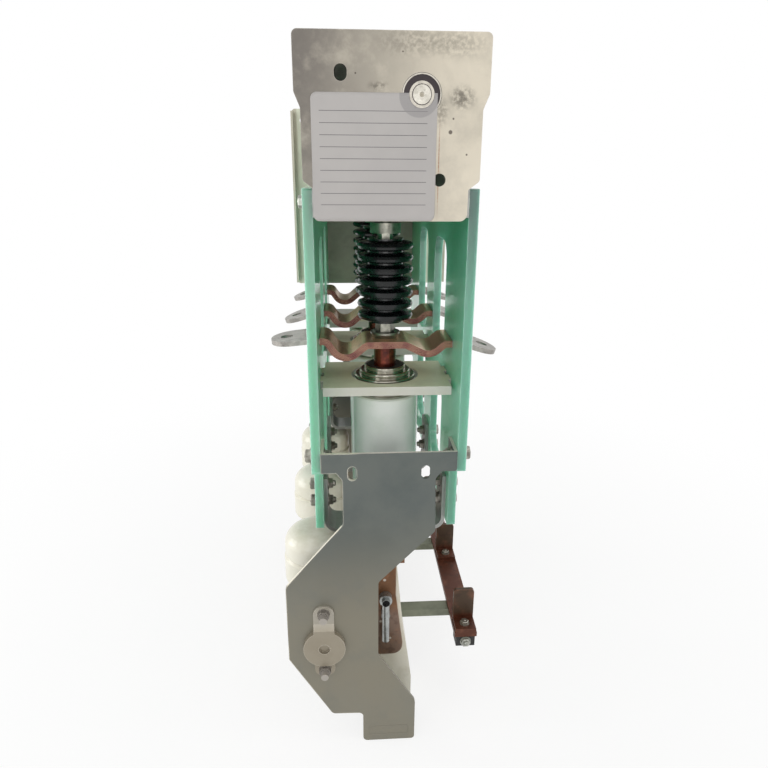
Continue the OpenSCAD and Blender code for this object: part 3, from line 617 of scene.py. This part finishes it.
def fastener_tree():
    """Hexagon heads or nuts on washers, with a stud end, at each point along its own axis."""
    round_sides, hex_sides, stud_sides = 32, 6, 20
    chamfer = 0.18
    tree = bpy.data.node_groups.new("hex_fasteners", "GeometryNodeTree")
    tree.interface.new_socket("Geometry", in_out="INPUT", socket_type="NodeSocketGeometry")
    for label in FASTENER_SIZES:
        tree.interface.new_socket(label, in_out="INPUT", socket_type="NodeSocketFloat")
    tree.interface.new_socket("Material", in_out="INPUT", socket_type="NodeSocketMaterial")
    tree.interface.new_socket("Geometry", in_out="OUTPUT", socket_type="NodeSocketGeometry")
    new = tree.nodes.new
    link = tree.links.new
    inp = new("NodeGroupInput")
    out = new("NodeGroupOutput")
    join = new("GeometryNodeJoinGeometry")

    def total(*sockets):
        result = sockets[0]
        for socket in sockets[1:]:
            add = new("ShaderNodeMath")
            link(result, add.inputs[0])
            link(socket, add.inputs[1])
            result = add.outputs[0]
        return result

    def share(socket, factor):
        times = new("ShaderNodeMath")
        times.operation = "MULTIPLY"
        times.inputs[1].default_value = factor
        link(socket, times.inputs[0])
        return times.outputs[0]

    def raised(geometry, height):
        place = new("ShaderNodeCombineXYZ")
        move = new("GeometryNodeTransform")
        link(height, place.inputs["Z"])
        link(geometry, move.inputs["Geometry"])
        link(place.outputs[0], move.inputs["Translation"])
        link(move.outputs["Geometry"], join.inputs["Geometry"])

    def cylinder(sides, radius, depth):
        made = new("GeometryNodeMeshCylinder")
        made.inputs["Vertices"].default_value = sides
        link(radius, made.inputs["Radius"])
        link(depth, made.inputs["Depth"])
        return made.outputs["Mesh"]

    def frustum(sides, top, bottom, depth):
        made = new("GeometryNodeMeshCone")
        made.inputs["Vertices"].default_value = sides
        link(top, made.inputs["Radius Top"])
        link(bottom, made.inputs["Radius Bottom"])
        link(depth, made.inputs["Depth"])
        return made.outputs["Mesh"]

    hex_r, hex_h, washer_r, washer_h, stud_r, stud_l = (inp.outputs[label] for label in FASTENER_SIZES)
    flat_h = share(hex_h, 1 - chamfer)
    chamfer_h = share(hex_h, chamfer)
    raised(cylinder(round_sides, washer_r, washer_h), share(washer_h, 0.5))
    raised(cylinder(hex_sides, hex_r, flat_h), total(washer_h, share(flat_h, 0.5)))
    raised(frustum(hex_sides, share(hex_r, 0.84), hex_r, chamfer_h), total(washer_h, flat_h))
    raised(cylinder(stud_sides, stud_r, stud_l), total(washer_h, hex_h, share(stud_l, 0.5)))
    stud_tip = frustum(stud_sides, share(stud_r, 0.7), stud_r, share(stud_r, 0.3))
    raised(stud_tip, total(washer_h, hex_h, stud_l))

    axis = new("GeometryNodeInputNamedAttribute")
    axis.data_type = "FLOAT_VECTOR"
    axis.inputs["Name"].default_value = "axis"
    turn = new("FunctionNodeAlignRotationToVector")
    turn.axis = "Z"
    place = new("GeometryNodeInstanceOnPoints")
    real = new("GeometryNodeRealizeInstances")
    coat = new("GeometryNodeSetMaterial")
    link(axis.outputs["Attribute"], turn.inputs["Vector"])
    link(inp.outputs["Geometry"], place.inputs["Points"])
    link(join.outputs["Geometry"], place.inputs["Instance"])
    link(turn.outputs["Rotation"], place.inputs["Rotation"])
    link(place.outputs["Instances"], real.inputs["Geometry"])
    link(real.outputs["Geometry"], coat.inputs["Geometry"])
    link(inp.outputs["Material"], coat.inputs["Material"])
    link(coat.outputs["Geometry"], out.inputs["Geometry"])
    return tree


FASTENERS = fastener_tree()


def fasteners(name, places, sizes, material):
    """One piece of like fasteners. Places are (x, y, z, axis), and all measures are in millimetres."""
    mesh = bpy.data.meshes.new(name)
    mesh.from_pydata([at(x, y, z) for x, y, z, _ in places], [], [])
    attribute = mesh.attributes.new("axis", "FLOAT_VECTOR", "POINT")
    for item, (_, _, _, axis) in zip(attribute.data, places):
        item.vector = axis
    obj = bpy.data.objects.new(name, mesh)
    bpy.context.scene.collection.objects.link(obj)
    modifier = obj.modifiers.new("fasteners", "NODES")
    modifier.node_group = FASTENERS
    values = {label: size * MM for label, size in zip(FASTENER_SIZES, sizes)}
    values["Material"] = material
    for item in FASTENERS.interface.items_tree:
        if item.in_out == "INPUT" and item.name in values:
            modifier[item.identifier] = values[item.name]
    bpy.context.view_layer.update()
    graph = bpy.context.evaluated_depsgraph_get()
    result = bpy.data.meshes.new_from_object(obj.evaluated_get(graph))
    obj.modifiers.clear()
    obj.data = result
    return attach(obj, "root")


RIGHT, LEFT = (1, 0, 0), (-1, 0, 0)
NEAR, UP = (0, -1, 0), (0, 0, 1)
# In the order of FASTENER_SIZES
BOARD_HEAD = (7.5, 5.3, 8.5, 1.6, 2.0, 0.2)
BOARD_NUT = (6.2, 4.6, 7.0, 1.2, 3.4, 2.0)
CHANNEL_HEAD = (5.8, 4.0, 6.5, 1.2, 1.5, 0.2)
BAR_HEAD = (5.0, 3.2, 6.0, 1.0, 1.5, 0.2)
BLOCK_NUT = (6.0, 3.4, 6.6, 1.0, 3.0, 1.6)
BRACKET_FLANGE, SADDLE_SHEET = 3, 4  # what the nuts sit on, inside the boards
BAR_X, BAR_TOP = 99, 103
dark_bolt = steel_finish("dark_plated_bolts", tint(122, 118, 110), tint(178, 174, 164), 0.34)
plated_bolt = steel_finish("plated_bolts", tint(146, 148, 140), tint(194, 194, 185), 0.3)

bracket_rows = [(y, 355, BRACKET_FLANGE) for y in (-210, 210)]
saddle_rows = [(y, z, SADDLE_SHEET) for y in POLES for z in (272, 293)]
board_heads, board_nuts = [], []
for side, out, back in ((1, RIGHT, LEFT), (-1, LEFT, RIGHT)):
    for y, z, clamped in bracket_rows + saddle_rows:
        board_heads.append((side * BOARD_OUT, y, z, out))
        board_nuts.append((side * (BOARD_IN - clamped), y, z, back))
fasteners("board_bolt_heads", board_heads, BOARD_HEAD, dark_bolt)
fasteners("board_bolt_nuts", board_nuts, BOARD_NUT, dark_bolt)
channel_bolts = [
    (side * BOARD_OUT, y, 600, axis)
    for side, axis in ((1, RIGHT), (-1, LEFT)) for y in (-200, -100, 0, 100, 200)
]
fasteners("channel_bolt_heads", channel_bolts, CHANNEL_HEAD, plated_bolt)
fasteners("earth_bar_bolts", [(BAR_X, y - 11, BAR_TOP, UP) for y in POLES], BAR_HEAD, dark_bolt)
fasteners("end_block_nut", [(BAR_X, -171, 85, NEAR)], BLOCK_NUT, plated_bolt)


# Flexible connectors: stacks of thin, bent copper leaves

CONNECTOR_Z, FLAT, VALLEY, CREST, END = 459.5, 20.0, 45.0, 60.0, 67.2
LEFT_SAG, RIGHT_SAG = 21.0, 12.5
STRIP_THICK, STRIP_HALF_WIDTH, WAVE_R = 7.0, 25.0, 16.0
LEFT_Z, RIGHT_Z = (464, 461, 461), (460, 460, 460)
LEAVES, LEAF_INSET, LEAF_FILL = 9, 0.3, 0.92


def bent_path(corners, radii, per_arc, per_run):
    """Points with sideways directions along a path whose inner corners are rounded."""
    points = [Vector(c) for c in corners]
    bends = []
    for a, b, c, r in zip(points, points[1:], points[2:], radii):
        before, after = (b - a).normalized(), (c - b).normalized()
        turn = before.angle_signed(after)
        reach = r * math.tan(abs(turn) / 2)
        bends.append((b - before * reach, b + after * reach, before, after, r))
    stops = [points[0]] + [p for bend in bends for p in bend[:2]] + [points[-1]]
    path = []
    for k in range(len(bends) + 1):
        start, end = stops[2 * k], stops[2 * k + 1]
        along = (end - start).normalized()
        side = Vector((-along.y, along.x))
        path += [(start.lerp(end, i / per_run), side) for i in range(per_run + 1)]
        if k == len(bends):
            break
        first, _, before, after, r = bends[k]
        left = Vector((-before.y, before.x))
        bend_up = 1 if left.dot(after) > 0 else -1
        middle = first + left * r * bend_up
        for i in range(1, per_arc):
            direction = before.slerp(after, i / per_arc)
            normal = Vector((-direction.y, direction.x))
            path.append((middle - normal * r * bend_up, normal))
    return path


def add_mesh(name, bm, material):
    """A new object from a finished bmesh."""
    bmesh.ops.recalc_face_normals(bm, faces=bm.faces[:])
    mesh = bpy.data.meshes.new(name)
    bm.to_mesh(mesh)
    bm.free()
    mesh.materials.append(material)
    obj = bpy.data.objects.new(name, mesh)
    bpy.context.scene.collection.objects.link(obj)
    return obj


def connector_half(pole, side, sag, end):
    """Half of one connector as a stack of leaves, from its clamped middle to its lug."""
    leaf = STRIP_THICK / LEAVES
    valley_z = CONNECTOR_Z - sag
    corners = [(0, CONNECTOR_Z), (FLAT, CONNECTOR_Z), (VALLEY, valley_z), (CREST, end), (END, end)]
    path = bent_path(corners, (STRIP_THICK, WAVE_R, STRIP_THICK), per_arc=10, per_run=5)
    bm = bmesh.new()
    for k in range(LEAVES):
        mid = -STRIP_THICK / 2 + leaf * (k + 0.5)
        half_width = STRIP_HALF_WIDTH - LEAF_INSET * (k % 2)
        rings = []
        for point, normal in path:
            below, above = (point + normal * (mid + lift * leaf * LEAF_FILL / 2) for lift in (-1, 1))
            rings.append([
                bm.verts.new(at(side * p.x, POLES[pole] + across * half_width, p.y))
                for across, p in ((-1, below), (1, below), (1, above), (-1, above))
            ])
        for a, b in zip(rings, rings[1:]):
            for j in range(4):
                bm.faces.new((a[j], a[(j + 1) % 4], b[(j + 1) % 4], b[j]))
        bm.faces.new(rings[0])
        bm.faces.new(rings[-1])
    name = f"connector_leaves_{pole + 1}_{'right' if side > 0 else 'left'}"
    obj = add_mesh(name, bm, FINISHES["strip_copper"])
    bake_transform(obj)
    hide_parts(f"flexible_connector_{pole + 1}")


for pole in range(3):
    connector_half(pole, -1, LEFT_SAG, LEFT_Z[pole])
    connector_half(pole, 1, RIGHT_SAG, RIGHT_Z[pole])


# Paper sheet on the end plate

def paper_sheet():
    """Thin sheet with round corners and a slight wave, cut away round the shaft's end."""
    left, right, low, high = -66.6, 36.9, 585.2, 686.0
    corner, bite, thickness, rows = 5.0, 10.4, 0.15, 30
    face = PLATE_FACE - thickness
    reach = math.sqrt(bite ** 2 - (high - SHAFT_Z) ** 2)
    bite_left, bite_right = SHAFT_X - reach, SHAFT_X + reach
    runs = (  # start, end, number of columns
        (left, left + corner, 6), (left + corner, bite_left, 24),
        (bite_left, bite_right, 24), (bite_right, right, 4),
    )
    columns = []
    for start, end, count in runs:
        for i in range(count):
            share = (1 - math.cos(math.pi * i / count)) / 2
            columns.append(start + (end - start) * share)
    columns.append(right)

    def rounding(distance):
        return corner - math.sqrt(max(0.0, corner ** 2 - (corner - min(distance, corner)) ** 2))

    bm = bmesh.new()
    grid = []
    for x in columns:
        trim = max(rounding(x - left), rounding(right - x))
        top = high - (trim if x < SHAFT_X else 0.0)
        if abs(x - SHAFT_X) < reach:
            top = SHAFT_Z - math.sqrt(bite ** 2 - (x - SHAFT_X) ** 2)
        line = []
        for j in range(rows + 1):
            z = low + trim + (top - low - trim) * j / rows
            wave = 0.25 + 0.25 * math.sin(x * 0.09 + 1) * math.sin(z * 0.07)
            line.append(bm.verts.new(at(x, face - wave, z)))
        grid.append(line)
    for a, b in zip(grid, grid[1:]):
        for j in range(rows):
            bm.faces.new((a[j], b[j], b[j + 1], a[j + 1]))
    obj = add_mesh("paper_sheet", bm, paper_finish())
    solid = obj.modifiers.new("thickness", "SOLIDIFY")
    solid.thickness = thickness * MM
    solid.offset = -1
    for polygon in obj.data.polygons:
        polygon.use_smooth = True
    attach(obj, "root")


paper_sheet()


# Camera, floor and light

def camera():
    """The photograph's camera, from its focal length and the vanishing points of the row and the uprights."""
    frame_width, focal, sensor = 768, 617.0, 36
    row_point, upright_point = (344, 178), (375, 2238)
    place = at(-40.3, -779, 620.3)

    def direction(x, y):
        middle = frame_width / 2
        return Vector(((x - middle) / focal, (y - middle) / focal, 1)).normalized()

    row = direction(*row_point)
    up = -direction(*upright_point)
    up = (up - row * up.dot(row)).normalized()
    across = row.cross(up)
    axes = [(axis.x, -axis.y, -axis.z) for axis in (across, row, up)]
    data = bpy.data.cameras.new("photo_camera")
    data.sensor_width = sensor
    data.lens = focal / frame_width * sensor
    data.clip_start = 0.01
    obj = bpy.data.objects.new("photo_camera", data)
    obj.matrix_world = Matrix.Translation(place) @ Matrix(axes).to_4x4()
    bpy.context.scene.collection.objects.link(obj)
    bpy.context.scene.camera = obj


def seen_rays(tree):
    """1 for rays from the camera, a mirror or glass, and 0 for the light that reaches the object."""
    path = tree.nodes.new("ShaderNodeLightPath")
    total = path.outputs["Is Camera Ray"]
    for name in ("Is Glossy Ray", "Is Transmission Ray"):
        larger = tree.nodes.new("ShaderNodeMath")
        larger.operation = "MAXIMUM"
        tree.links.new(total, larger.inputs[0])
        tree.links.new(path.outputs[name], larger.inputs[1])
        total = larger.outputs[0]
    return total


def floor():
    """Pale floor that keeps a soft shadow near the object and runs into the white background."""
    size, shadow_core, shadow_rim, white_share = 12, 0.3, 1.1, 0.78
    corners = [(-size, -size, 0), (size, -size, 0), (size, size, 0), (-size, size, 0)]
    mesh = bpy.data.meshes.new("pale_floor")
    mesh.from_pydata(corners, [], [(0, 1, 2, 3)])
    f = Finish("pale_floor", (0.93, 0.93, 0.925, 1), 0.8, specular=0.1)
    f.patches((0.95, 0.95, 0.945, 1), 3, 0.5, 0.2, 0.5)
    white = f.ramp(f.distance((0, 0, 0)), shadow_core, shadow_rim, white_share, 1.0)
    glow = f.node("ShaderNodeEmission", Color=(1, 1, 1, 1), Strength=1.0)
    mix = f.node("ShaderNodeMixShader")
    f.link(f.both(white, seen_rays(f.tree)), mix.inputs["Fac"])
    f.link(f.shader.outputs["BSDF"], mix.inputs[1])
    f.link(glow.outputs["Emission"], mix.inputs[2])
    output = next(n for n in f.tree.nodes if n.type == "OUTPUT_MATERIAL")
    f.link(mix.outputs["Shader"], output.inputs["Surface"])
    mesh.materials.append(f.done())
    obj = bpy.data.objects.new("pale_floor", mesh)
    bpy.context.scene.collection.objects.link(obj)


def world():
    """White background that lights the object less than it shows."""
    lighting, showing = 0.6, 1.0
    sky = bpy.data.worlds.new("studio")
    bpy.context.scene.world = sky
    sky.use_nodes = True
    tree = sky.node_tree
    back = tree.nodes["Background"]
    back.inputs["Color"].default_value = (1, 1, 1, 1)
    level = tree.nodes.new("ShaderNodeMapRange")
    level.inputs["To Min"].default_value = lighting
    level.inputs["To Max"].default_value = showing
    tree.links.new(seen_rays(tree), level.inputs["Value"])
    tree.links.new(level.outputs["Result"], back.inputs["Strength"])


def lamp(name, place, target, size, power, colour=(1, 1, 1)):
    """A soft rectangular lamp: places and size in metres, power in watts."""
    data = bpy.data.lights.new(name, "AREA")
    data.shape = "RECTANGLE"
    data.size, data.size_y = size
    data.energy = power
    data.color = colour
    obj = bpy.data.objects.new(name, data)
    obj.location = place
    obj.rotation_euler = (Vector(target) - Vector(place)).to_track_quat("-Z", "Y").to_euler()
    bpy.context.scene.collection.objects.link(obj)


camera()
floor()
world()
middle = (0, 0, 0.4)
lamp("overhead_softbox", (0.2, -0.4, 2.4), middle, (2.0, 2.0), 12)
lamp("front_softbox", (-0.1, -2.4, 0.5), (0, 0, 0.5), (1.2, 0.9), 7)
lamp("right_softbox", (2.2, -0.2, 0.8), middle, (1.4, 1.4), 10, (1.0, 0.97, 0.92))
lamp("left_softbox", (-2.2, 0.1, 0.7), middle, (1.4, 1.4), 20)
lamp("front_left_softbox", (-1.2, -1.9, 1.2), middle, (0.6, 0.9), 4, (0.95, 0.98, 1.0))
bpy.context.scene.view_settings.view_transform = "Standard"
